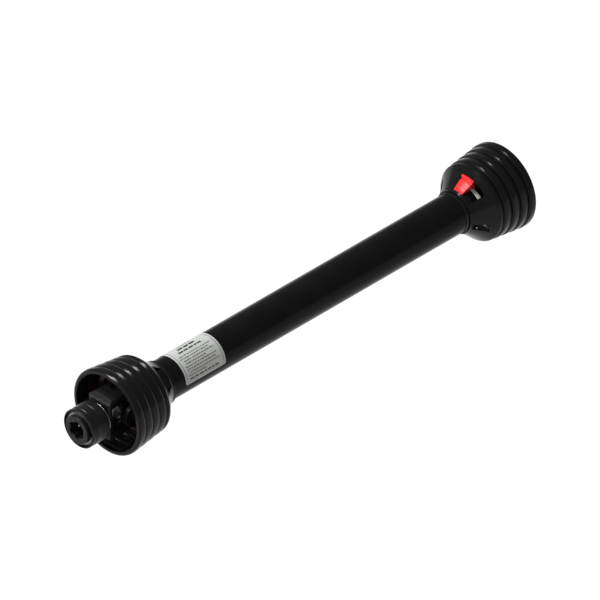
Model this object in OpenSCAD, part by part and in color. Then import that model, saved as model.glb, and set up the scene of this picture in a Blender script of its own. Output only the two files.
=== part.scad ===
// Guarded telescopic power take-off shaft, pushed fully together.
// The shaft lies along X: x = 0 is the face of the splined tractor yoke, +Z is up.

/* [Overall] */
// Distance between the two joint centres with the shaft pushed together
closed_span = 898; // [700:1:1400]

/* [Tractor yoke] */
// Outer radius of the splined hub
hub_r = 26.8; // [25:0.1:28]
// From the hub's face to the joint centre
yoke_reach = 100; // [100:1:120]
// Radius over the spline grooves
spline_major_r = 17.5; // [17:0.1:18]
// Radius over the spline teeth
spline_minor_r = 14.9; // [14:0.1:15.5]
// Width of one spline groove
spline_groove_w = 8.8; // [8:0.1:9.5]
// Number of spline grooves
spline_count = 6; // [6:6:6]
// Chamfer on turned edges
edge_chamfer = 1.5; // [0.5:0.1:2]

/* [Lock collar] */
// Outer radius of the sliding collar
collar_r = 36.4; // [35.5:0.1:38]
// Length of the collar
collar_len = 40.2; // [40:0.1:41]
// How far the hub stands out of the collar
collar_setback = 5.4; // [5:0.1:6]
// Radius of the recess round the hub in the collar's face
collar_recess_r = 34; // [33:0.1:34.5]
// How far the collar slides back to release the shaft
collar_travel = 7; // [5:0.5:7]
// Radius of the space for the spring
spring_space_r = 33; // [32.5:0.1:33.5]
// Depth of the two grip grooves
grip_depth = 0.9; // [0.5:0.1:1.5]
// Width of a grip groove
grip_w = 2.4; // [2:0.1:4]
// Radius of a locking ball
ball_r = 6; // [5.8:0.1:6.1]
// Distance of the balls from the hub's face
ball_x = 25; // [24.6:0.1:25.4]
// Rise of a ball for each millimetre that the collar slides
ramp_rise = 0.25; // [0.25:0.01:0.25]
// How far a locked ball reaches into the spline bore
ball_bite = 2.3; // [2:0.1:2.5]
// Depth of the recess in the collar's face down to the clip
collar_recess = 3.3; // [1:0.1:3.4]
// Thickness of the retaining clip
clip_t = 1.7; // [1.5:0.1:1.8]
// Outer radius of the retaining clip
clip_r = 30.2; // [29.5:0.1:31]
// Depth of the clip's groove in the hub
clip_groove = 1.4; // [1:0.1:1.8]
// Wire radius of the collar spring
spring_wire_r = 1.2; // [1:0.1:1.3]
// Turns of the collar spring
spring_turns = 4; // [3:0.5:5]

/* [Joints] */
// Outer radius of a bearing cup
cup_r = 13.5; // [13:0.1:14.5]
// Length of a bearing cup
cup_len = 17; // [15:0.5:18]
// Distance over a pair of cups
cross_span = 74.6; // [73:0.1:77]
// Radius of a trunnion of the cross
trunnion_r = 9.6; // [8.5:0.1:10]
// Radius of the shoulder behind a trunnion
shoulder_r = 11.6; // [11:0.1:12.5]
// Radius of the middle of the cross
cross_body_r = 15; // [14:0.1:17]
// Thickness of the middle of the cross
cross_body_t = 22; // [18:0.5:25]
// Thickness of the closed end of a cup
cup_end_t = 3; // [2:0.1:4]
// Outer radius of a seal ring
seal_r = 12.5; // [12:0.1:13.2]
// Thickness of a circlip
circlip_t = 1.6; // [1.2:0.1:2]
// Depth of a circlip's groove
circlip_groove = 1.1; // [0.8:0.1:1.5]

/* [Forks] */
// Radius of a fork's ear
ear_r = 21; // [19:0.1:22]
// Thickness of a fork's ear
ear_t = 15.5; // [13:0.1:16]
// Metal of the ear outside the circlip
ear_lip = 1.5; // [1:0.1:2]
// Width of an arm at its root
arm_root_w = 51; // [46:1:53]
// Half the height of a fork at its base
fork_root_h = 37; // [35:0.5:40]
// Chamfer round the front of a fork's base
fork_chamfer = 2.4; // [1:0.1:3]
// Depth of the fork behind the joint centre
fork_depth = 40; // [39:0.5:42]
// Radius over the rounded edges of the arms
fork_swing_r = 45; // [43:0.5:46]
// Radius of the fork's base
fork_base_r = 43; // [42:0.5:44]

/* [Shaft tubes] */
// Radius of the inner yokes' hubs
inner_hub_r = 30; // [29:0.1:30.5]
// From a joint centre to the end of the inner yoke's hub
inner_hub_reach = 88; // [85:1:100]
// Radius over the rounded corners of the outer profile tube
profile_corner_r = 25.5; // [24:0.1:26]
// Radius of the bowed sides of the outer profile tube
profile_side_r = 40; // [38:0.1:42]
// Offset of the side arcs' centres from the axis
profile_side_offset = 19.5; // [18.5:0.1:20.5]
// Wall of the outer profile tube
outer_profile_wall = 4; // [3:0.1:5]
// Wall of the inner profile tube
inner_profile_wall = 3.5; // [3:0.1:5]
// Gap between the two profile tubes
profile_gap = 0.5; // [0.3:0.1:1]
// Radius of the spring pins through hub and tube
pin_r = 5; // [4:0.1:6]
// Wall of a spring pin
pin_wall = 1.8; // [1:0.1:2.5]

/* [Guard tubes] */
// Outer radius of the outer guard tube
guard_tube_r = 37.2; // [36.5:0.1:38]
// Wall of the outer guard tube
guard_wall = 2.6; // [2:0.1:2.8]
// Wall of the inner guard tube
inner_guard_wall = 2.5; // [2:0.1:2.6]
// Gap between the two guard tubes
guard_gap = 0.7; // [0.5:0.1:1]
// Distance from the near ring to the end of the inner guard tube
guard_end_gap = 44; // [10:1:60]

/* [Guard bells] */
// Distance from the joint centre out to the bell's mouth
bell_ahead = 28.7; // [20:0.1:35]
// Outer radius of the rim
rim_r = 80.7; // [79:0.1:90]
// Radius at the shoulder where the skirt meets the cone
skirt_end_r = 72.3; // [71:0.1:78]
// Length of the ribbed skirt
skirt_len = 81; // [80:0.5:90]
// Length of the cone behind the skirt
cone_len = 38.7; // [37:0.1:42]
// Bow of the cone, 1 is straight
cone_bow = 1.25; // [1.1:0.05:1.4]
// Wall of the bell
bell_wall = 2.4; // [2:0.1:3]
// Number of raised bands on the skirt
band_count = 5; // [4:1:6]
// Length of the first band at the rim
first_band = 16.7; // [14:0.1:18]
// Length of the last band at the shoulder
last_band = 9.1; // [8:0.1:11]
// Width of the groove between two bands
groove_w = 4.9; // [4.5:0.1:8]
// Width of the groove's floor
groove_floor_w = 1.8; // [1.5:0.1:3]
// Depth of the groove below the band
groove_depth = 2.4; // [1.5:0.1:3]
// Drop of a band's rounded edge
band_drop = 1.1; // [0.5:0.1:1.4]
// Width of the turned-in lip at the mouth
lip_w = 8; // [6:0.1:10]
// Outer rounding of the lip
lip_round = 4.6; // [3:0.1:5]
// Outer radius of the neck
neck_r = 40.8; // [40:0.1:42]
// How far the near bell's neck stands out of its cone
near_neck = 5.8; // [4:0.1:8]
// How far the far bell's neck stands out of its cone
far_neck = 1.3; // [1:0.1:4]
// Angle that a wide window in the cone covers
window_angle = 54; // [46:1:60]
// Angle that a narrow window in the cone covers
slot_angle = 16; // [10:1:24]
// Distance from the shoulder to the window
window_from = 10.2; // [9:0.1:12]
// Length of the window along the shaft
window_len = 25; // [20:0.5:26]
// Direction of a wide window of the near bell, from +Y towards +Z
near_window_turn = 132; // [90:1:180]
// Direction of a wide window of the far bell, from +Y towards +Z
far_window_turn = 109; // [90:1:180]

/* [Guard rings and latches] */
// Distance from the joint centre to the ring's groove
ring_from = 57; // [56:0.1:60]
// Width of the ring's groove in the inner yoke
ring_groove_w = 8.3; // [7:0.1:9]
// Depth of the ring's groove
ring_groove_depth = 2.4; // [2:0.1:2.6]
// Length of the ring's nose in the bell's neck
ring_nose = 6; // [4:0.5:10]
// Slit of the split ring
ring_slit = 2; // [1:0.5:4]
// Angle that a latch covers
latch_angle = 25; // [18:1:28]
// Angle between a latch and the side of its window
latch_side_gap = 0.6; // [0.4:0.1:2]
// Height of the latch's thumb ridge over the cone
ridge_proud = 0.6; // [0.2:0.1:2]
// Length of the thumb ridge along the shaft
ridge_len = 3.8; // [3:0.1:5]

/* [Implement yoke] */
// Outer radius of the implement yoke's hub
far_hub_r = 26; // [24:0.1:27]
// From the joint centre to the end of the implement yoke
far_reach = 62; // [60:0.5:80]
// Radius of the implement yoke's bore
far_bore_r = 15.9; // [12:0.1:17]
// Width of the keyway
key_w = 8; // [6:0.1:10]
// Depth of the keyway outside the bore
key_depth = 3.4; // [2:0.1:4]
// Radius of a set screw
set_screw_r = 4; // [3:0.1:5]

/* [Label] */
// Length of the label along the tube
label_len = 94.4; // [60:0.1:140]
// Distance from the near bell's neck to the label
label_from = 26.8; // [10:0.1:200]
// Angle that the label covers
label_angle = 150; // [60:1:180]
// Direction of the label's first edge, from +Y towards +Z
label_turn = 32; // [0:1:60]
// Thickness of the label
label_t = 0.25; // [0.1:0.05:0.4]

/* [Clearances] */
// Radial clearance of a sliding or turning fit
run_fit = 0.06; // [0.03:0.01:0.08]
// Radial clearance of a fixed fit
seat_fit = 0.04; // [0.02:0.01:0.08]
// Gap at an end face
end_gap = 0.3; // [0.2:0.05:0.5]

/* [Hidden] */
$fn = 96;

// Direction of a cross's grease nipple, from +Z towards +Y
nipple_turn = 45;

// Places along the shaft
near_joint_x = yoke_reach;
far_joint_x = near_joint_x + closed_span;
fork_face_x = near_joint_x - fork_depth;
collar_rear_x = collar_setback + collar_len;
shoulder_x = collar_rear_x + collar_travel + 2 * end_gap;
near_mouth_x = near_joint_x - bell_ahead;
near_cone_end_x = near_mouth_x + skirt_len + cone_len;
near_neck_end_x = near_cone_end_x + near_neck;
far_cone_end_x = near_joint_x + far_joint_x - near_cone_end_x;
far_neck_end_x = far_cone_end_x - far_neck;

// Places in the joints, measured from the joint centre
cup_out = cross_span / 2;
cup_in = cup_out - cup_len;
circlip_in = cup_out + 0.05;
ear_out = circlip_in + circlip_t + ear_lip;
ear_in = ear_out - ear_t;
trunnion_end = cup_out - cup_end_t - end_gap;
seal_in = cup_in - 3.1;
nipple_hex_r = 3.5;
nipple_stem_r = 2.5;
nipple_seat = shoulder_r * sqrt(2) + nipple_hex_r + end_gap;

// Lock collar
slide_r = hub_r + run_fit;
clip_x = collar_setback + collar_recess;
flange_x = clip_x + clip_t + end_gap;
flange_t = 2.4;
ball_locked_r = spline_major_r - ball_bite + ball_r;
ramp_tilt = atan(ramp_rise);
ramp_at_ball_r = ball_locked_r + (ball_r + run_fit) / cos(ramp_tilt);
ramp_end_x = ball_x + (ramp_at_ball_r - slide_r) / ramp_rise;
ramp_start_x = ball_x + ball_r * sin(ramp_tilt) - collar_travel - 1.4;
ramp_start_r = ramp_at_ball_r + ramp_rise * (ball_x - ramp_start_x);
land_end_x = ramp_end_x + 4;

// Guard
ring_x = near_joint_x + ring_from;
ring_t = ring_groove_w - 2 * end_gap;
ring_bore_r = inner_hub_r - ring_groove_depth + end_gap;
ring_face_x = ring_x + end_gap;
ring_back_x = ring_face_x + ring_t;
nose_end_x = ring_back_x + ring_nose;
sleeve_x = ring_back_x + end_gap;
tube_start_x = nose_end_x + end_gap;
neck_bore_r = guard_tube_r + seat_fit;
inner_guard_r = guard_tube_r - guard_wall - guard_gap;
bush_x = far_neck_end_x - 7;
tube_end_x = bush_x - end_gap;

// Shaft
socket_x = near_joint_x + fork_depth + 10;
inner_hub_end_x = near_joint_x + inner_hub_reach;
pin_x = inner_hub_end_x - 2.4 * pin_r;
profile_inset = outer_profile_wall + profile_gap;
outer_profile_end_x = near_joint_x + far_joint_x - inner_hub_end_x - 5;
inner_profile_end_x = inner_hub_end_x + 7;

// Turns a lathe profile or an outline drawn round Z so that it lies round X
module round_x(x = 0) {
    translate([x, 0, 0]) rotate([90, 0, 90]) children();
}

// Solid of revolution round X from a list of [x, radius] points
module lathe(points, from = 0, angle = 360) {
    round_x() rotate_extrude(angle = angle, start = from)
        polygon([for (p = points) [p[1], p[0]]]);
}

module rod(x1, x2, r) {
    round_x(x1) cylinder(h = x2 - x1, r = r);
}

module tube(x1, x2, r_out, r_in) {
    difference() {
        rod(x1, x2, r_out);
        rod(x1 - 1, x2 + 1, r_in);
    }
}

// Mirrors a near-end piece to the far end of the closed shaft
module far_end() {
    translate([near_joint_x + far_joint_x, 0, 0]) mirror([1, 0, 0]) children();
}

// Lays a piece drawn along +Z to both sides of a joint centre
module both_ways(along_y = false) {
    for (turn = [0, 180])
        rotate([turn + (along_y ? 90 : 0), 0, 0]) children();
}

// Outline of a fork from one side, chamfered at front_x and reaching half_h at the ears
module fork_outline(front_x, root_h, half_h) {
    c = fork_chamfer;
    polygon([
        [front_x, c - root_h], [front_x, root_h - c], [front_x + c, root_h],
        [front_x + c + 12, half_h], [ear_r + 1, half_h], [ear_r + 1, -half_h],
        [front_x + c + 12, -half_h], [front_x + c, -root_h]
    ]);
}

// Fork with its joint centre at the origin, ears along Z and hub towards -X.
// The profile is the flared base, as [x, radius] points.
module fork(base_profile, root_x, front_x) {
    difference() {
        intersection() {
            union() {
                both_ways() translate([0, 0, ear_in])
                    linear_extrude(height = ear_t) {
                        circle(r = ear_r);
                        polygon([
                            [0, -ear_r], [0, ear_r],
                            [root_x, arm_root_w / 2], [root_x, -arm_root_w / 2]
                        ]);
                    }
                lathe(base_profile);
            }
            rod(front_x - 1, ear_r + 1, fork_swing_r);
            rotate([90, 0, 0]) translate([0, 0, -arm_root_w])
                linear_extrude(height = 2 * arm_root_w)
                    fork_outline(front_x, fork_root_h, ear_out + 1);
            translate([0, 0, -fork_swing_r]) linear_extrude(height = 2 * fork_swing_r)
                fork_outline(front_x, arm_root_w / 2, arm_root_w / 2);
        }
        both_ways() {
            translate([0, 0, ear_in - 1]) cylinder(h = ear_t + 2, r = cup_r + seat_fit);
            translate([0, 0, circlip_in - 0.05])
                cylinder(h = circlip_t + 0.1, r = cup_r + circlip_groove);
        }
    }
}

// Bearing cups of one pair, closed at their outer ends
module cup_pair(along_y) {
    both_ways(along_y) difference() {
        union() {
            translate([0, 0, cup_in]) cylinder(h = cup_len - 1, r = cup_r);
            translate([0, 0, cup_out - 1]) cylinder(h = 1, r1 = cup_r, r2 = cup_r - 1);
        }
        translate([0, 0, cup_in - 1])
            cylinder(h = cup_len - cup_end_t + 1, r = trunnion_r + run_fit);
    }
}

// Circlips with two eyes, outside one pair of cups
module circlip_pair(along_y) {
    ring_w = 2.4;
    r_out = cup_r + circlip_groove - 0.1;
    eye_r = 2.1;
    both_ways(along_y) translate([0, 0, circlip_in]) linear_extrude(height = circlip_t)
        difference() {
            union() {
                difference() {
                    circle(r = r_out);
                    circle(r = r_out - ring_w);
                    translate([0, -3.2]) square([r_out + 1, 6.4]);
                }
                for (side = [-1, 1])
                    translate([r_out - ring_w - 0.6, side * 4]) circle(r = eye_r);
            }
            for (side = [-1, 1])
                translate([r_out - ring_w - 0.6, side * 4]) circle(r = 0.9);
        }
}

// Cross with four trunnions round a flat middle
module cross() {
    difference() {
        union() {
            round_x(-cross_body_t / 2) cylinder(h = cross_body_t, r = cross_body_r);
            rotate([-nipple_turn, 0, 0])
                cylinder(h = nipple_seat - end_gap, r = nipple_hex_r + 0.5);
            for (along_y = [false, true]) both_ways(along_y) {
                cylinder(h = seal_in - 0.1, r = shoulder_r);
                cylinder(h = trunnion_end - 1, r = trunnion_r);
                translate([0, 0, trunnion_end - 1])
                    cylinder(h = 1, r1 = trunnion_r, r2 = trunnion_r - 1);
            }
        }
        rotate([-nipple_turn, 0, 0]) translate([0, 0, nipple_seat - 6])
            cylinder(h = 10, r = nipple_stem_r + seat_fit);
    }
}

// Seal rings on the trunnions of one cross
module seals() {
    for (along_y = [false, true]) both_ways(along_y) translate([0, 0, seal_in])
        difference() {
            cylinder(h = cup_in - seal_in - end_gap, r = seal_r);
            translate([0, 0, -1]) cylinder(h = 10, r = trunnion_r + seat_fit);
        }
}

// Grease nipple with a hexagon and a ball head, screwed into the cross
module nipple() {
    rotate([-nipple_turn, 0, 0]) translate([0, 0, nipple_seat]) {
        translate([0, 0, -5.7]) cylinder(h = 6, r = nipple_stem_r);
        cylinder(h = 2, r = nipple_hex_r, $fn = 6);
        translate([0, 0, 1.9]) cylinder(h = 3.1, r1 = 2.6, r2 = 1.6);
        translate([0, 0, 5.5]) sphere(r = 2.1);
    }
}

// Outline of a profile tube: three bowed sides and three rounded corners
module profile(inset) {
    intersection() {
        circle(r = profile_corner_r - inset);
        rotate(90) translate([profile_side_offset, 0]) circle(r = profile_side_r - inset);
        rotate(210) translate([profile_side_offset, 0]) circle(r = profile_side_r - inset);
        rotate(330) translate([profile_side_offset, 0]) circle(r = profile_side_r - inset);
    }
}

module profile_tube(x1, x2, inset, wall) {
    round_x(x1) linear_extrude(height = x2 - x1) difference() {
        profile(inset);
        profile(inset + wall);
    }
}

// Outline of the splined bore
module spline_outline() {
    circle(r = spline_minor_r);
    intersection() {
        circle(r = spline_major_r);
        union() {
            for (i = [0 : spline_count / 2 - 1]) rotate(30 + i * 360 / spline_count)
                square([3 * spline_major_r, spline_groove_w], center = true);
        }
    }
}

ball_turns = [90, 210, 330];

module near_yoke() {
    base_x = shoulder_x - near_joint_x;
    color([0.1, 0.1, 0.11]) difference() {
        union() {
            translate([near_joint_x, 0, 0]) fork([
                [-fork_depth, 0], [-fork_depth, fork_base_r], [base_x + fork_chamfer, fork_base_r],
                [base_x, fork_base_r - fork_chamfer], [base_x, 0]
            ], base_x, base_x);
            lathe([
                [0, 0], [0, hub_r - edge_chamfer], [edge_chamfer, hub_r],
                [fork_face_x, hub_r], [fork_face_x, 0]
            ]);
        }
        round_x(-1) linear_extrude(height = fork_face_x + 2) spline_outline();
        round_x(-0.01) cylinder(h = 1.8, r1 = spline_major_r + 1, r2 = spline_minor_r);
        for (turn = ball_turns) round_x(ball_x) rotate([0, 90, turn]) {
            ball_seat_r = ball_locked_r - 2;
            translate([0, 0, ball_seat_r]) cylinder(h = 20, r = ball_r + run_fit);
            translate([0, 0, ball_seat_r - 2.6])
                cylinder(h = 2.61, r1 = ball_r - 1.5, r2 = ball_r + run_fit);
        }
        tube(clip_x - 0.05, clip_x + clip_t + 0.05, hub_r + 1, hub_r - clip_groove);
    }
}

module near_lock_collar() {
    mouth_x = collar_setback;
    grip_1_x = mouth_x + 8.1;
    grip_2_x = mouth_x + 24;
    color([0.09, 0.09, 0.1]) difference() {
        lathe([
            [mouth_x, collar_recess_r], [mouth_x, collar_r - 1.2], [mouth_x + 1.2, collar_r],
            [collar_rear_x - 1.2, collar_r], [collar_rear_x, collar_r - 1.2],
            [collar_rear_x, spring_space_r], [land_end_x, spring_space_r],
            [land_end_x, slide_r], [ramp_end_x, slide_r], [ramp_start_x, ramp_start_r],
            [flange_x + flange_t, ramp_start_r], [flange_x + flange_t, slide_r],
            [flange_x, slide_r], [flange_x, collar_recess_r]
        ]);
        for (x = [grip_1_x, grip_2_x]) lathe([
            [x - grip_w / 2, collar_r + 1], [x - grip_w / 2, collar_r],
            [x - grip_w / 4, collar_r - grip_depth], [x + grip_w / 4, collar_r - grip_depth],
            [x + grip_w / 2, collar_r], [x + grip_w / 2, collar_r + 1]
        ]);
    }
}

module near_collar_clip() {
    color([0.3, 0.3, 0.31]) round_x(clip_x) linear_extrude(height = clip_t) difference() {
        circle(r = clip_r);
        circle(r = hub_r - clip_groove + seat_fit);
        translate([-clip_r - 1, -4]) square([clip_r, 8]);
    }
}

// Spring as a wire swept along a helix with closed end turns
function coil_z(turn, turns, length, wire) =
    turn < 1 ? wire * (1 + 2.2 * turn)
    : turn > turns - 1 ? length - wire * (1 + 2.2 * (turns - turn))
    : 3.2 * wire + (length - 6.4 * wire) * (turn - 1) / (turns - 2);

module near_collar_spring() {
    sides = 8;
    steps = 24;
    from_x = land_end_x + 0.1;
    length = shoulder_x - land_end_x - 0.2;
    middle_r = hub_r + 1.9 + spring_wire_r;
    rings = spring_turns * steps;
    points = [
        for (i = [0 : rings], k = [0 : sides - 1])
            let (
                turn = i / steps,
                around = 360 * turn,
                tilt = 360 * k / sides,
                r = middle_r + spring_wire_r * cos(tilt)
            )
            [
                r * cos(around), r * sin(around),
                coil_z(turn, spring_turns, length, spring_wire_r) + spring_wire_r * sin(tilt)
            ]
    ];
    faces = concat(
        [[for (k = [0 : sides - 1]) k]],
        [[for (k = [sides - 1 : -1 : 0]) rings * sides + k]],
        [
            for (i = [0 : rings - 1], k = [0 : sides - 1])
                let (a = i * sides + k, b = i * sides + (k + 1) % sides)
                [a, a + sides, b + sides, b]
        ]
    );
    color([0.45, 0.45, 0.47]) round_x(from_x) polyhedron(points = points, faces = faces);
}

module lock_ball(index) {
    color([0.75, 0.75, 0.77]) round_x(ball_x) rotate([0, 90, ball_turns[index]])
        translate([0, 0, ball_locked_r]) sphere(r = ball_r);
}

module near_lock_ball_1() { lock_ball(0); }
module near_lock_ball_2() { lock_ball(1); }
module near_lock_ball_3() { lock_ball(2); }

module near_yoke_cups() {
    color([0.5, 0.5, 0.52]) translate([near_joint_x, 0, 0]) cup_pair(false);
}
module near_yoke_circlips() {
    color([0.3, 0.3, 0.31]) translate([near_joint_x, 0, 0]) circlip_pair(false);
}
module near_cross() {
    color([0.2, 0.2, 0.21]) translate([near_joint_x, 0, 0]) cross();
}
module near_cross_seals() {
    color([0.05, 0.05, 0.05]) translate([near_joint_x, 0, 0]) seals();
}
module near_grease_nipple() {
    color([0.7, 0.65, 0.45]) translate([near_joint_x, 0, 0]) nipple();
}
module near_shaft_cups() {
    color([0.5, 0.5, 0.52]) translate([near_joint_x, 0, 0]) cup_pair(true);
}
module near_shaft_circlips() {
    color([0.3, 0.3, 0.31]) translate([near_joint_x, 0, 0]) circlip_pair(true);
}

// Yoke at the end of a profile tube, with the groove for the guard's ring
module inner_yoke(inset) {
    flare_x = -fork_depth - 12;
    difference() {
        union() {
            translate([near_joint_x, 0, 0]) mirror([1, 0, 0]) rotate([90, 0, 0]) fork([
                [-fork_depth, 0], [-fork_depth, fork_base_r], [-fork_depth - 4, fork_base_r - 1],
                [flare_x, inner_hub_r], [flare_x, 0]
            ], -fork_depth - 4, flare_x);
            rod(near_joint_x + fork_depth, inner_hub_end_x, inner_hub_r);
        }
        round_x(socket_x) linear_extrude(height = inner_hub_reach) profile(inset - seat_fit);
        tube(ring_x, ring_x + ring_groove_w, inner_hub_r + 1, inner_hub_r - ring_groove_depth);
        translate([pin_x, 0, 0])
            cylinder(h = 3 * inner_hub_r, r = pin_r + seat_fit, center = true);
    }
}

// Slotted spring pin through hub and tube
module roll_pin() {
    length = 2 * inner_hub_r - 2.4;
    translate([pin_x, 0, -length / 2]) linear_extrude(height = length) difference() {
        circle(r = pin_r);
        circle(r = pin_r - pin_wall);
        translate([0, -0.8]) square([pin_r + 1, 1.6]);
    }
}

module near_inner_yoke() {
    color([0.13, 0.13, 0.14]) inner_yoke(0);
}
module near_roll_pin() {
    color([0.35, 0.35, 0.36]) roll_pin();
}
module outer_profile_tube() {
    color([0.25, 0.25, 0.26]) difference() {
        profile_tube(socket_x + end_gap, outer_profile_end_x, 0, outer_profile_wall);
        translate([pin_x, 0, 0])
            cylinder(h = 3 * inner_hub_r, r = pin_r + seat_fit, center = true);
    }
}
module inner_profile_tube() {
    color([0.3, 0.3, 0.31]) difference() {
        far_end() profile_tube(
            socket_x + end_gap, near_joint_x + far_joint_x - inner_profile_end_x,
            profile_inset, inner_profile_wall
        );
        far_end() translate([pin_x, 0, 0])
            cylinder(h = 3 * inner_hub_r, r = pin_r + seat_fit, center = true);
    }
}
module far_inner_yoke() {
    color([0.13, 0.13, 0.14]) far_end() inner_yoke(profile_inset);
}
module far_roll_pin() {
    color([0.35, 0.35, 0.36]) far_end() roll_pin();
}

// Profile of the bell, as [distance from the mouth, radius]
band_pitch = (skirt_len - first_band - last_band) / (band_count - 2);
function groove_at(i) = first_band + i * band_pitch;
function band_start(i) = i == 0 ? lip_round : groove_at(i - 1) + groove_w / 2;
function band_end(i) = i == band_count - 1 ? skirt_len : groove_at(i) - groove_w / 2;
function band_r(i) =
    i == 0 ? rim_r
    : let (middle = (band_start(i) + band_end(i)) / 2)
      rim_r - (rim_r - skirt_end_r) * (middle - 8.7) / (skirt_len - 8.7);
function floor_r(i) = min(band_r(i), band_r(i + 1)) - groove_depth;
function cone_r(t) = neck_r + (skirt_end_r - neck_r) * pow(1 - t, cone_bow);
function cone_r_at(u) = cone_r((u - skirt_len) / cone_len);

function band_outside(i) = concat(
    i == 0 ? [] : [
        [band_start(i), band_r(i) - band_drop],
        [band_start(i) + 1.8, band_r(i) - band_drop / 4]
    ],
    [[(band_start(i) + band_end(i)) / 2, band_r(i)]],
    i == band_count - 1 ? [[skirt_len - 1, skirt_end_r]] : [
        [band_end(i) - 1.8, band_r(i) - band_drop / 4],
        [band_end(i), band_r(i) - band_drop],
        [groove_at(i) - groove_floor_w / 2, floor_r(i)],
        [groove_at(i) + groove_floor_w / 2, floor_r(i)]
    ]
);

function band_inside(i) = [
    [groove_at(i) - groove_w / 2 - 0.9, band_r(i) - bell_wall - band_drop / 3],
    [groove_at(i) - groove_floor_w / 2 - 1, floor_r(i) - bell_wall],
    [groove_at(i) + groove_floor_w / 2 + 1, floor_r(i) - bell_wall],
    [groove_at(i) + groove_w / 2 + 0.9, band_r(i + 1) - bell_wall - band_drop / 3]
];

cone_steps = 7;
cone_wall = bell_wall * 1.3;

bell_profile = concat(
    [[0, rim_r - lip_w]],
    [for (a = [90 : -15 : 0])
        [lip_round * (1 - sin(a)), rim_r - lip_round * (1 - cos(a))]],
    [for (i = [0 : band_count - 1]) each band_outside(i)],
    [for (k = [0.4 : 1 : cone_steps])
        [skirt_len + cone_len * k / cone_steps, cone_r(k / cone_steps)]],
    [[skirt_len + cone_len, neck_r], [skirt_len + cone_len, neck_r - 1.5]],
    [for (k = [cone_steps - 2 : -1 : 0])
        if (cone_r(k / cone_steps) - cone_wall > neck_r - 1)
        [skirt_len + cone_len * k / cone_steps - (k == 0 ? 1 : 0),
            cone_r(k / cone_steps) - cone_wall]],
    [for (i = [band_count - 2 : -1 : 0]) each [for (k = [3 : -1 : 0]) band_inside(i)[k]]],
    [[lip_round + 1, rim_r - bell_wall], [bell_wall + 0.2, rim_r - lip_round - 0.6],
        [bell_wall, rim_r - lip_w]]
);

module window(turn, angle) {
    x1 = near_mouth_x + skirt_len + window_from;
    x2 = x1 + window_len;
    lathe(
        [[x1, inner_hub_r], [x1, rim_r], [x2, rim_r], [x2, inner_hub_r]],
        turn - angle / 2, angle
    );
}

module bell(neck, window_turn) {
    difference() {
        translate([near_mouth_x, 0, 0]) lathe(bell_profile);
        for (i = [0, 180]) {
            window(window_turn + i, window_angle);
            window(window_turn + 90 + i, slot_angle);
        }
    }
    tube(sleeve_x, near_cone_end_x + neck, neck_r, neck_bore_r);
}

module near_bell() {
    color([0.07, 0.07, 0.07]) bell(near_neck, near_window_turn);
}
module far_bell() {
    color([0.07, 0.07, 0.07]) far_end() bell(far_neck, far_window_turn);
}

// Split ring that carries the guard on the inner yoke
module bearing_ring() {
    difference() {
        union() {
            tube(ring_face_x, ring_back_x, neck_r, ring_bore_r);
            tube(ring_back_x - 0.5, nose_end_x, guard_tube_r, inner_hub_r + 1);
        }
        translate([ring_face_x - 1, -ring_slit / 2, -neck_r - 1])
            cube([ring_t + ring_nose + 2, ring_slit, neck_r]);
    }
}

module near_bearing_ring() {
    color([0.92, 0.92, 0.9]) bearing_ring();
}
module far_bearing_ring() {
    color([0.92, 0.92, 0.9]) far_end() bearing_ring();
}

// Latch that hooks over the ring and slides round the neck in a window
module latch(window_at) {
    foot_r = neck_r + end_gap;
    top_u = skirt_len + window_from + end_gap;
    x0 = near_mouth_x + top_u;
    ridge_r = cone_r_at(top_u) + ridge_proud;
    tail = window_len - 2 * end_gap;
    lathe([
        [ring_face_x - 2.7, ring_bore_r + 10], [ring_face_x - 2.7, foot_r + 2.4],
        [x0 - 3, foot_r + 6], [x0 - 3, ridge_r - 7], [x0, ridge_r - 5.5],
        [x0, ridge_r - 0.6], [x0 + 0.6, ridge_r], [x0 + ridge_len - 0.6, ridge_r],
        [x0 + ridge_len, ridge_r - 0.6], [x0 + ridge_len, ridge_r - 6.5],
        [x0 + ridge_len + 4, ridge_r - 7.5], [x0 + tail - 3, foot_r + 5.5],
        [x0 + tail, foot_r + 3], [x0 + tail, foot_r], [ring_face_x - end_gap, foot_r],
        [ring_face_x - end_gap, ring_bore_r + 10]
    ], window_at - window_angle / 2 + latch_side_gap, latch_angle);
}

module near_latch() {
    color([0.8, 0.05, 0.06]) latch(near_window_turn + 180);
}
module far_latch() {
    color([0.8, 0.05, 0.06]) far_end() latch(far_window_turn);
}

module outer_guard_tube() {
    color([0.05, 0.05, 0.05])
        tube(tube_start_x, tube_end_x, guard_tube_r, guard_tube_r - guard_wall);
}
module inner_guard_tube() {
    color([0.05, 0.05, 0.05]) tube(
        nose_end_x + guard_end_gap,
        near_joint_x + far_joint_x - tube_start_x,
        inner_guard_r, inner_guard_r - inner_guard_wall
    );
}
module far_neck_bush() {
    color([0.12, 0.12, 0.13]) difference() {
        union() {
            rod(bush_x, far_neck_end_x - end_gap, guard_tube_r + 0.9);
            rod(far_neck_end_x - 1, near_joint_x + far_joint_x - tube_start_x, guard_tube_r);
        }
        rod(bush_x - 1, far_joint_x, inner_guard_r + seat_fit);
    }
}

module label() {
    from_x = near_neck_end_x + label_from;
    under_r = guard_tube_r + end_gap;
    color([0.8, 0.81, 0.8]) lathe([
        [from_x, under_r], [from_x, under_r + label_t],
        [from_x + label_len, under_r + label_t], [from_x + label_len, under_r]
    ], label_turn, label_angle);
}

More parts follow.
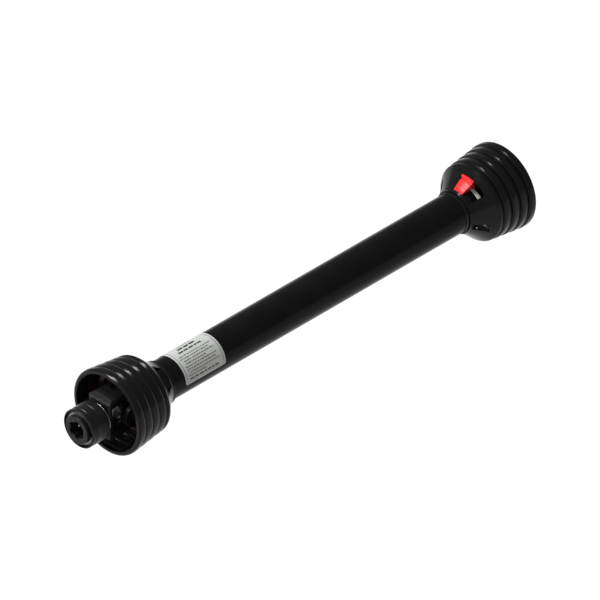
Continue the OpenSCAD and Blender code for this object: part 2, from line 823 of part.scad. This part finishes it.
module far_shaft_cups() {
    color([0.5, 0.5, 0.52]) translate([far_joint_x, 0, 0]) cup_pair(true);
}
module far_shaft_circlips() {
    color([0.3, 0.3, 0.31]) translate([far_joint_x, 0, 0]) circlip_pair(true);
}
module far_cross() {
    color([0.2, 0.2, 0.21]) translate([far_joint_x, 0, 0]) cross();
}
module far_cross_seals() {
    color([0.05, 0.05, 0.05]) translate([far_joint_x, 0, 0]) seals();
}
module far_grease_nipple() {
    color([0.7, 0.65, 0.45]) translate([far_joint_x, 0, 0]) nipple();
}
module far_yoke_cups() {
    color([0.5, 0.5, 0.52]) translate([far_joint_x, 0, 0]) cup_pair(false);
}
module far_yoke_circlips() {
    color([0.3, 0.3, 0.31]) translate([far_joint_x, 0, 0]) circlip_pair(false);
}

// Places of the two set screws round the hub, from +Y towards +Z
screw_turns = [90, 0];
screw_x = (fork_depth + 9 + far_reach) / 2;

module far_yoke() {
    flare_x = -fork_depth - 9;
    color([0.11, 0.11, 0.12]) translate([far_joint_x, 0, 0]) mirror([1, 0, 0]) difference() {
        union() {
            fork([
                [-fork_depth, 0], [-fork_depth, fork_base_r], [-fork_depth - 3, fork_base_r - 1],
                [flare_x, far_hub_r], [flare_x, 0]
            ], -fork_depth - 3, flare_x);
            lathe([
                [-fork_depth, 0], [-fork_depth, far_hub_r],
                [edge_chamfer - far_reach, far_hub_r], [-far_reach, far_hub_r - edge_chamfer],
                [-far_reach, 0]
            ]);
        }
        rod(-far_reach - 1, -fork_depth + 1, far_bore_r);
        translate([-far_reach - 1, -key_w / 2, 0])
            cube([far_reach - fork_depth + 2, key_w, far_bore_r + key_depth]);
        for (turn = screw_turns) rotate([turn - 90, 0, 0]) translate([-screw_x, 0, 0])
            cylinder(h = far_hub_r + 1, r = set_screw_r + seat_fit);
    }
}

module far_set_screws() {
    color([0.15, 0.15, 0.16]) translate([far_joint_x, 0, 0]) mirror([1, 0, 0])
        for (i = [0, 1]) rotate([screw_turns[i] - 90, 0, 0]) difference() {
            bottom = far_bore_r + (i == 0 ? key_depth : 0) + 0.6;
            translate([-screw_x, 0, bottom]) cylinder(h = far_hub_r - bottom, r = set_screw_r);
            translate([-screw_x, 0, far_hub_r - 3]) cylinder(h = 4, r = 2.3, $fn = 6);
        }
}

near_yoke();
near_lock_collar();
near_collar_clip();
near_collar_spring();
near_lock_ball_1();
near_lock_ball_2();
near_lock_ball_3();
near_yoke_cups();
near_yoke_circlips();
near_cross();
near_cross_seals();
near_grease_nipple();
near_shaft_cups();
near_shaft_circlips();
near_inner_yoke();
near_roll_pin();
outer_profile_tube();
near_bell();
near_bearing_ring();
near_latch();
outer_guard_tube();
label();
inner_guard_tube();
far_neck_bush();
far_bell();
far_bearing_ring();
far_latch();
inner_profile_tube();
far_roll_pin();
far_inner_yoke();
far_shaft_cups();
far_shaft_circlips();
far_cross();
far_cross_seals();
far_grease_nipple();
far_yoke_cups();
far_yoke_circlips();
far_yoke();
far_set_screws();
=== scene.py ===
import math
import random

import bmesh
import bpy
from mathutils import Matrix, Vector


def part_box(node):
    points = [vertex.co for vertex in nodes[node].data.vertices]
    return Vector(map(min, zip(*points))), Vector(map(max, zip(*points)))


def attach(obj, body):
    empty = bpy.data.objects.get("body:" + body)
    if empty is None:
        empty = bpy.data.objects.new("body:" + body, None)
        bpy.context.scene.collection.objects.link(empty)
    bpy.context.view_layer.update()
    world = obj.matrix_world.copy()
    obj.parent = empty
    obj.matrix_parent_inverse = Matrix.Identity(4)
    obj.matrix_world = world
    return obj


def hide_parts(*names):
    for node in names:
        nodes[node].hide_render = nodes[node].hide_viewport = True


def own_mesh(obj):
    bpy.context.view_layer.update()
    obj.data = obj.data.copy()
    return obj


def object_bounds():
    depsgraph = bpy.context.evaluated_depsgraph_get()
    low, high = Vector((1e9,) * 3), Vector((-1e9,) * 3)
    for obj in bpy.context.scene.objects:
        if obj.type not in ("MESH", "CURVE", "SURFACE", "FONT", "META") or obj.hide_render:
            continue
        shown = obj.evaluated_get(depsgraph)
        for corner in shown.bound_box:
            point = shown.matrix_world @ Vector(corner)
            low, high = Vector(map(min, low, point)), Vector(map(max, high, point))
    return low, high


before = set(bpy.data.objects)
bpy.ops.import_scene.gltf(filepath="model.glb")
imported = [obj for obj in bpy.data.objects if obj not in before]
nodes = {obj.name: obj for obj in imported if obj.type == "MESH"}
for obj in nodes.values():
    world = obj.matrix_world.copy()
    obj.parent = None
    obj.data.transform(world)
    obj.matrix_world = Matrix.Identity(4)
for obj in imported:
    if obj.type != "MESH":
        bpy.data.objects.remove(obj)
cad_low, cad_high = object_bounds()


# Camera: exact isometric direction, looking from the splined end, the side and above.
def make_camera():
    view = Vector((1, 1, -1)).normalized()
    right = Vector((1, -1, 0)).normalized()
    up = right.cross(view)
    pixel = 0.0017
    aim = Vector((0.5330, 0, 0)) + up * 1.4 * pixel
    data = bpy.data.cameras.new("camera")
    data.sensor_width = 36
    data.lens = 1200
    data.clip_start, data.clip_end = 1, 200
    camera = bpy.data.objects.new("camera", data)
    bpy.context.scene.collection.objects.link(camera)
    camera.location = aim - view * (600 * pixel * data.lens / data.sensor_width)
    camera.rotation_mode = "QUATERNION"
    camera.rotation_quaternion = view.to_track_quat("-Z", "Y")
    bpy.context.scene.camera = camera


make_camera()


class Shader:
    """A node material that is built one node at a time."""

    def __init__(self, name):
        self.material = bpy.data.materials.new(name)
        self.material.use_nodes = True
        self.tree = self.material.node_tree
        self.surface = self.tree.nodes["Principled BSDF"]

    def add(self, kind, values=(), **settings):
        node = self.tree.nodes.new(kind)
        for key, value in settings.items():
            setattr(node, key, value)
        for key, value in dict(values).items():
            self.put(node.inputs[key], value)
        return node

    def put(self, socket, value):
        if isinstance(value, bpy.types.NodeSocket):
            self.tree.links.new(value, socket)
        else:
            socket.default_value = value

    def set(self, **values):
        for key, value in values.items():
            self.put(self.surface.inputs[key.replace("_", " ")], value)

    def place(self, scale=(1, 1, 1)):
        """Coordinates in metres in the row frame, stretched by scale."""
        where = self.add("ShaderNodeTexCoord").outputs["Object"]
        return self.add("ShaderNodeMapping", {"Vector": where, "Scale": scale}).outputs["Vector"]

    def noise(self, size, detail=3, rough=0.5, stretch=(1, 1, 1)):
        """Noise with features of about size metres."""
        return self.add("ShaderNodeTexNoise", {
            "Vector": self.place(stretch), "Scale": 1 / size, "Detail": detail, "Roughness": rough,
        }).outputs["Fac"]

    def math(self, operation, a, b=0.0, clamp=False):
        node = self.add("ShaderNodeMath", operation=operation, use_clamp=clamp)
        self.put(node.inputs[0], a)
        self.put(node.inputs[1], b)
        return node.outputs[0]

    def ramp(self, value, low, high, to_low=0.0, to_high=1.0):
        return self.add("ShaderNodeMapRange", {
            "Value": value, "From Min": low, "From Max": high, "To Min": to_low, "To Max": to_high,
        }).outputs["Result"]

    def colours(self, value, stops):
        node = self.add("ShaderNodeValToRGB", {"Fac": value})
        ramp = node.color_ramp
        while len(ramp.elements) < len(stops):
            ramp.elements.new(0.5)
        for element, (at, colour) in zip(ramp.elements, stops):
            element.position = at
            element.color = (*colour, 1)
        return node.outputs["Color"]

    def mix(self, share, a, b):
        node = self.add("ShaderNodeMix", data_type="RGBA")
        self.put(node.inputs[0], share)
        for socket, value in ((node.inputs[6], a), (node.inputs[7], b)):
            self.put(socket, value if isinstance(value, bpy.types.NodeSocket) else (*value, 1))
        return node.outputs[2]

    def bump(self, height, depth, strength=1.0, over=None):
        """Bump whose full height is depth metres."""
        values = {"Height": height, "Distance": depth, "Strength": strength}
        if over is not None:
            values["Normal"] = over
        return self.add("ShaderNodeBump", values).outputs["Normal"]


def grey(value):
    return (value, value, value * 1.03)


def guard_plastic(name, base=0.004, streaks=False, gloss=0.12):
    """Black moulded plastic with a fine grain, slight sheen changes and, on tubes, extrusion lines."""
    s = Shader(name)
    patches = s.noise(0.045, 4)
    s.set(Base_Color=s.colours(patches, [(0.3, grey(base)), (0.7, grey(base * 1.5))]))
    s.set(Roughness=s.ramp(s.noise(0.012, 5), 0.3, 0.7, 0.15, 0.22))
    s.surface.inputs["Specular IOR Level"].default_value = gloss
    grain = s.bump(s.noise(0.0006, 2), 0.00002, 0.5)
    if streaks:
        lines = s.noise(0.0011, 3, 0.6, (0.006, 1, 1))
        grain = s.bump(lines, 0.00003, 0.6, grain)
    s.set(Normal=grain)
    return s.material


def black_steel(name, machined=None):
    """Satin black paint over forged steel, with a fine cast grain."""
    s = Shader(name)
    s.set(Base_Color=s.colours(s.noise(0.02, 4), [(0.3, grey(0.005)), (0.7, grey(0.008))]))
    s.set(Roughness=s.ramp(s.noise(0.006, 4), 0.3, 0.7, 0.26, 0.38))
    s.surface.inputs["Specular IOR Level"].default_value = 0.14
    s.set(Normal=s.bump(s.noise(0.0018, 4, 0.6), 0.00008, 0.5))
    return s.material


def bare_steel(name, level, rough, grain=0.0004, stretch=(1, 1, 1)):
    """Steel with turned or ground marks."""
    s = Shader(name)
    marks = s.noise(grain, 3, 0.6, stretch)
    s.set(Base_Color=s.colours(s.noise(0.01, 3), [(0.3, grey(level * 0.85)), (0.7, grey(level))]))
    s.set(Metallic=1.0)
    s.set(Roughness=s.ramp(marks, 0.3, 0.7, rough * 0.8, rough * 1.25))
    s.set(Normal=s.bump(marks, 0.00001, 0.5))
    return s.material


def moulded(name, low, high, rough, spec=0.5, grain=0.0009):
    """Coloured moulded plastic."""
    s = Shader(name)
    s.set(Base_Color=s.colours(s.noise(0.008, 3), [(0.3, low), (0.7, high)]))
    s.set(Roughness=s.ramp(s.noise(0.003, 3), 0.3, 0.7, rough * 0.85, rough * 1.15))
    s.surface.inputs["Specular IOR Level"].default_value = spec
    s.set(Normal=s.bump(s.noise(grain, 2), 0.00002, 0.4))
    return s.material


plastic = guard_plastic("guard_black")
tube_plastic = guard_plastic("guard_tube_black", 0.004, True, 0.06)
bush_plastic = guard_plastic("bush_black", 0.006)
painted = black_steel("yoke_black")
collar_paint = black_steel("collar_black")
ground = bare_steel("ground_steel", 0.6, 0.25)
dark = bare_steel("dark_steel", 0.2, 0.4)
oiled = bare_steel("oiled_tube", 0.28, 0.35, 0.0008, (0.01, 1, 1))
ball = bare_steel("ball_steel", 0.75, 0.12)
zinc = bare_steel("zinc", 0.3, 0.35)
rubber = moulded("seal_rubber", grey(0.006), grey(0.012), 0.55, 0.35)
nylon = moulded("nylon", (0.78, 0.78, 0.75), (0.86, 0.86, 0.83), 0.38)
red = moulded("latch_red", (0.62, 0.008, 0.012), (0.75, 0.013, 0.018), 0.33, 0.5)
film = moulded("label_film", (0.36, 0.37, 0.355), (0.40, 0.41, 0.395), 0.5, 0.2)
ink = moulded("label_ink", grey(0.012), grey(0.02), 0.5)
soft_ink = moulded("label_soft_ink", grey(0.08), grey(0.11), 0.5)

finish = {
    "near_yoke": painted, "near_lock_collar": collar_paint, "near_collar_clip": dark,
    "near_collar_spring": dark, "near_cross": dark, "far_cross": dark,
    "near_grease_nipple": zinc, "far_grease_nipple": zinc, "near_inner_yoke": painted,
    "far_inner_yoke": painted, "far_yoke": painted, "far_set_screws": dark,
    "outer_profile_tube": oiled, "inner_profile_tube": oiled, "near_roll_pin": dark,
    "far_roll_pin": dark, "near_bell": plastic, "far_bell": plastic,
    "outer_guard_tube": tube_plastic, "inner_guard_tube": tube_plastic,
    "far_neck_bush": bush_plastic, "label": film, "near_latch": red, "far_latch": red,
    "near_bearing_ring": nylon, "far_bearing_ring": nylon,
}
for name, node in nodes.items():
    material = finish.get(name)
    if material is None:
        if "lock_ball" in name:
            material = ball
        elif "cups" in name:
            material = ground
        elif "circlips" in name:
            material = dark
        elif "seals" in name:
            material = rubber
        else:
            material = dark
    node.data.materials.clear()
    node.data.materials.append(material)
    for polygon in node.data.polygons:
        polygon.material_index = 0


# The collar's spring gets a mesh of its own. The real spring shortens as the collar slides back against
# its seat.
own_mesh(nodes["near_collar_spring"])


def piece(name, mesh_maker, material, body):
    """A new piece from a bmesh, riding on a body."""
    mesh = bpy.data.meshes.new(name)
    shape = bmesh.new()
    mesh_maker(shape)
    bmesh.ops.recalc_face_normals(shape, faces=shape.faces)
    shape.to_mesh(mesh)
    shape.free()
    mesh.materials.append(material)
    made = bpy.data.objects.new(name, mesh)
    bpy.context.scene.collection.objects.link(made)
    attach(made, body)
    return made


def on_tube(x, turn, radius):
    """A point on a circle round the shaft. turn is in degrees from +Y towards +Z."""
    angle = math.radians(turn)
    return (x, radius * math.cos(angle), radius * math.sin(angle))


def patch(shape, x1, x2, turn1, turn2, inner, outer, corner=0.0):
    """A thin curved block on the tube, its four corners rounded to a radius."""
    middle = (inner + outer) / 2
    span = math.radians(turn2 - turn1) * middle
    stops = {0.0, span}
    if corner:
        for k in range(1, 9):
            cut = corner * (1 - math.cos(math.radians(90 * k / 8)))
            stops.update((cut, span - cut))
    steps = max(1, round((turn2 - turn1) / 3))
    stops.update(corner + (span - 2 * corner) * k / steps for k in range(1, steps))
    rings = []
    for along in sorted(stops):
        turn = turn1 + math.degrees(along / middle)
        near_end = min(along, span - along)
        cut = 0.0
        if near_end < corner:
            cut = corner - math.sqrt(max(0.0, corner ** 2 - (corner - near_end) ** 2))
        rings.append([shape.verts.new(on_tube(x, turn, r))
                      for x, r in ((x1 + cut, inner), (x2 - cut, inner),
                                   (x2 - cut, outer), (x1 + cut, outer))])
    for a, b in zip(rings, rings[1:]):
        for k in range(4):
            shape.faces.new((a[k], a[(k + 1) % 4], b[(k + 1) % 4], b[k]))
    shape.faces.new(rings[0][::-1])
    shape.faces.new(rings[-1])


# Label: rounded corners, a plain border, and rows of blank bars in place of print.
label_low, label_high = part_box("label")
label_x1, label_x2 = label_low.x, label_high.x
label_r = max(math.hypot(v.co.y, v.co.z) for v in nodes["label"].data.vertices)
label_under = min(math.hypot(v.co.y, v.co.z) for v in nodes["label"].data.vertices)
label_first, label_last = 32.0, 182.0
print_r = label_r + 0.00005
label_arc = math.radians(label_last - label_first) * label_r


def label_face(shape):
    patch(shape, label_x1, label_x2, label_first, label_last, label_under, label_r, 0.0045)


def printed(shape, x1, x2, arc1, arc2):
    """A bar of print: x is from the near end, arc is from the label's back edge, in metres."""
    patch(shape, label_x1 + x1, label_x1 + x2,
          label_first + math.degrees(arc1 / label_r), label_first + math.degrees(arc2 / label_r),
          label_r - 0.0001, print_r)


def label_border(shape):
    inset, line = 0.0038, 0.0010
    width = label_x2 - label_x1
    printed(shape, inset, width - inset, inset, inset + line)
    printed(shape, inset, width - inset, label_arc - inset - line, label_arc - inset)
    printed(shape, inset, inset + line, inset + line, label_arc - inset - line)
    printed(shape, width - inset - line, width - inset, inset + line, label_arc - inset - line)


# Rows as (middle along the arc, height, start, end, shortest bar, longest bar, gap).
bold_rows = [
    (0.0300, 0.0050, 0.024, 0.070, 0.008, 0.013, 0.0022),
    (0.0390, 0.0036, 0.018, 0.076, 0.006, 0.011, 0.0018),
    (0.0905, 0.0030, 0.010, 0.082, 0.005, 0.011, 0.0016),
]
fine_rows = [(0.0210, 0.0024, 0.030, 0.064, 0.003, 0.006, 0.0013)] + [
    (0.0480 + 0.0052 * i, 0.0020, 0.014 if i in (2, 3, 6) else 0.010, end, 0.002, 0.007, 0.0011)
    for i, end in enumerate((0.082, 0.074, 0.083, 0.060, 0.081, 0.078, 0.083, 0.052))
]


def rows_of_bars(rows, seed):
    def make(shape):
        lengths = random.Random(seed)
        for middle, height, start, end, shortest, longest, gap in rows:
            x = start
            while x < end - shortest:
                stop = min(end, x + lengths.uniform(shortest, longest))
                printed(shape, x, stop, middle - height / 2, middle + height / 2)
                x = stop + gap
    return make


face = piece("label_face", label_face, film, "guard_near")
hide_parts("label")
piece("label_border", label_border, soft_ink, "guard_near")
piece("label_bold_bars", rows_of_bars(bold_rows, 5), ink, "guard_near")
piece("label_fine_bars", rows_of_bars(fine_rows, 8), soft_ink, "guard_near")


# Floor under the guard's rims, and soft studio light.
def make_stage():
    floor_z = min(cad_low.z, cad_high.z) - 0.0002
    mesh = bpy.data.meshes.new("floor")
    size = 60
    mesh.from_pydata(
        [(-size, -size, floor_z), (size, -size, floor_z), (size, size, floor_z), (-size, size, floor_z)],
        [], [(0, 1, 2, 3)],
    )
    s = Shader("floor")
    s.set(Base_Color=(0.05, 0.05, 0.05, 1), Roughness=0.9)
    s.set(Emission_Color=(1, 1, 1, 1), Emission_Strength=1.0)
    s.surface.inputs["Specular IOR Level"].default_value = 0.0
    mesh.materials.append(s.material)
    floor = bpy.data.objects.new("floor", mesh)
    bpy.context.scene.collection.objects.link(floor)

    world = bpy.data.worlds.new("studio")
    bpy.context.scene.world = world
    world.use_nodes = True
    world.node_tree.nodes["Background"].inputs["Color"].default_value = (1, 1, 1, 1)
    world.node_tree.nodes["Background"].inputs["Strength"].default_value = 0.34

    def area(name, location, target, width, height, power):
        data = bpy.data.lights.new(name, "AREA")
        data.shape = "RECTANGLE"
        data.size, data.size_y = width, height
        data.energy = power
        light = bpy.data.objects.new(name, data)
        bpy.context.scene.collection.objects.link(light)
        light.location = location
        light.rotation_mode = "QUATERNION"
        light.rotation_quaternion = (Vector(target) - Vector(location)).to_track_quat("-Z", "Y")

    area("front", (-6.3, 3.66, 3.16), (0.5, 0, 0), 1.2, 1.2, 620)
    area("near", (-0.52, 0.37, 0.96), (0.1, 0, 0), 0.25, 0.25, 9)
    area("top", (-0.34, 1.5, 5.7), (0.5, 0, 0), 1.2, 1.2, 200)


make_stage()
bpy.context.scene.view_settings.view_transform = "Standard"
